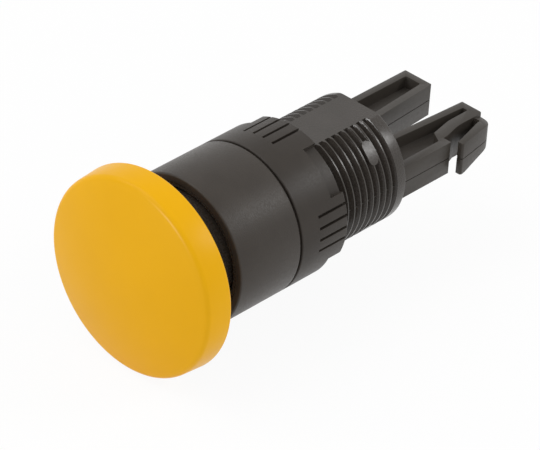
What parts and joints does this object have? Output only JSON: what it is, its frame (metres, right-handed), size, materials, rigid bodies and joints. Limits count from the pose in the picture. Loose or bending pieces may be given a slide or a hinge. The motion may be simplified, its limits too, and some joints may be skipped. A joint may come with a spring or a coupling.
{
  "type": "push button head",
  "caption": "Mushroom push button head for a round panel hole: domed yellow cap, collar, threaded barrel with ring nut, and a spring-returned fork with a snap leg for the contacts.",
  "frame": {"origin": "on the push axis, in the plane of the collar's rear face, which is where the front of the panel lies", "axes": "+Y along the push axis from cap to legs, +Z towards the barrel's flat, +X towards the leg with the snap hook"},
  "size_m": [0.0238, 0.0522, 0.0238],
  "materials": {
    "yellow_cap": "glossy golden yellow moulding",
    "black_plastic": "black glass-filled moulding, fine grain",
    "fork_plastic": "black moulding, smooth with a soft sheen",
    "rubber": "matt black rubber",
    "steel": "plain spring steel"
  },
  "bodies": {
    "housing": {"front_collar": "black_plastic", "threaded_barrel": "black_plastic", "seal_retainer": "black_plastic", "lip_seal": "rubber", "panel_gasket": "rubber", "return_spring": "steel"},
    "button": {"mushroom_cap": "yellow_cap", "plunger": "black_plastic", "retaining_clip": "steel", "switch_fork": "fork_plastic"},
    "washer": {"keyed_washer": "black_plastic"},
    "nut": {"ring_nut": "black_plastic"}
  },
  "joints": [
    {"name": "press", "type": "slide", "parent": "housing", "child": "button", "axis": [0, 1, 0], "range_m": [0, 0.003], "stiffness_N_per_m": 900, "springref_m": -0.0045, "deforming": ["return_spring"]},
    {"name": "washer_slide", "type": "slide", "parent": "housing", "child": "washer", "axis": [0, 1, 0], "range_m": [0, 0.006]},
    {"name": "nut_turn", "type": "hinge", "parent": "washer", "child": "nut", "pos_m": [0, 0, 0], "axis": [0, 1, 0], "range_deg": [0, 2160]}
  ],
  "couplings": [
    {"joint": "nut_turn", "follows": "washer_slide", "rad_per_m": 6283.2}
  ]
}
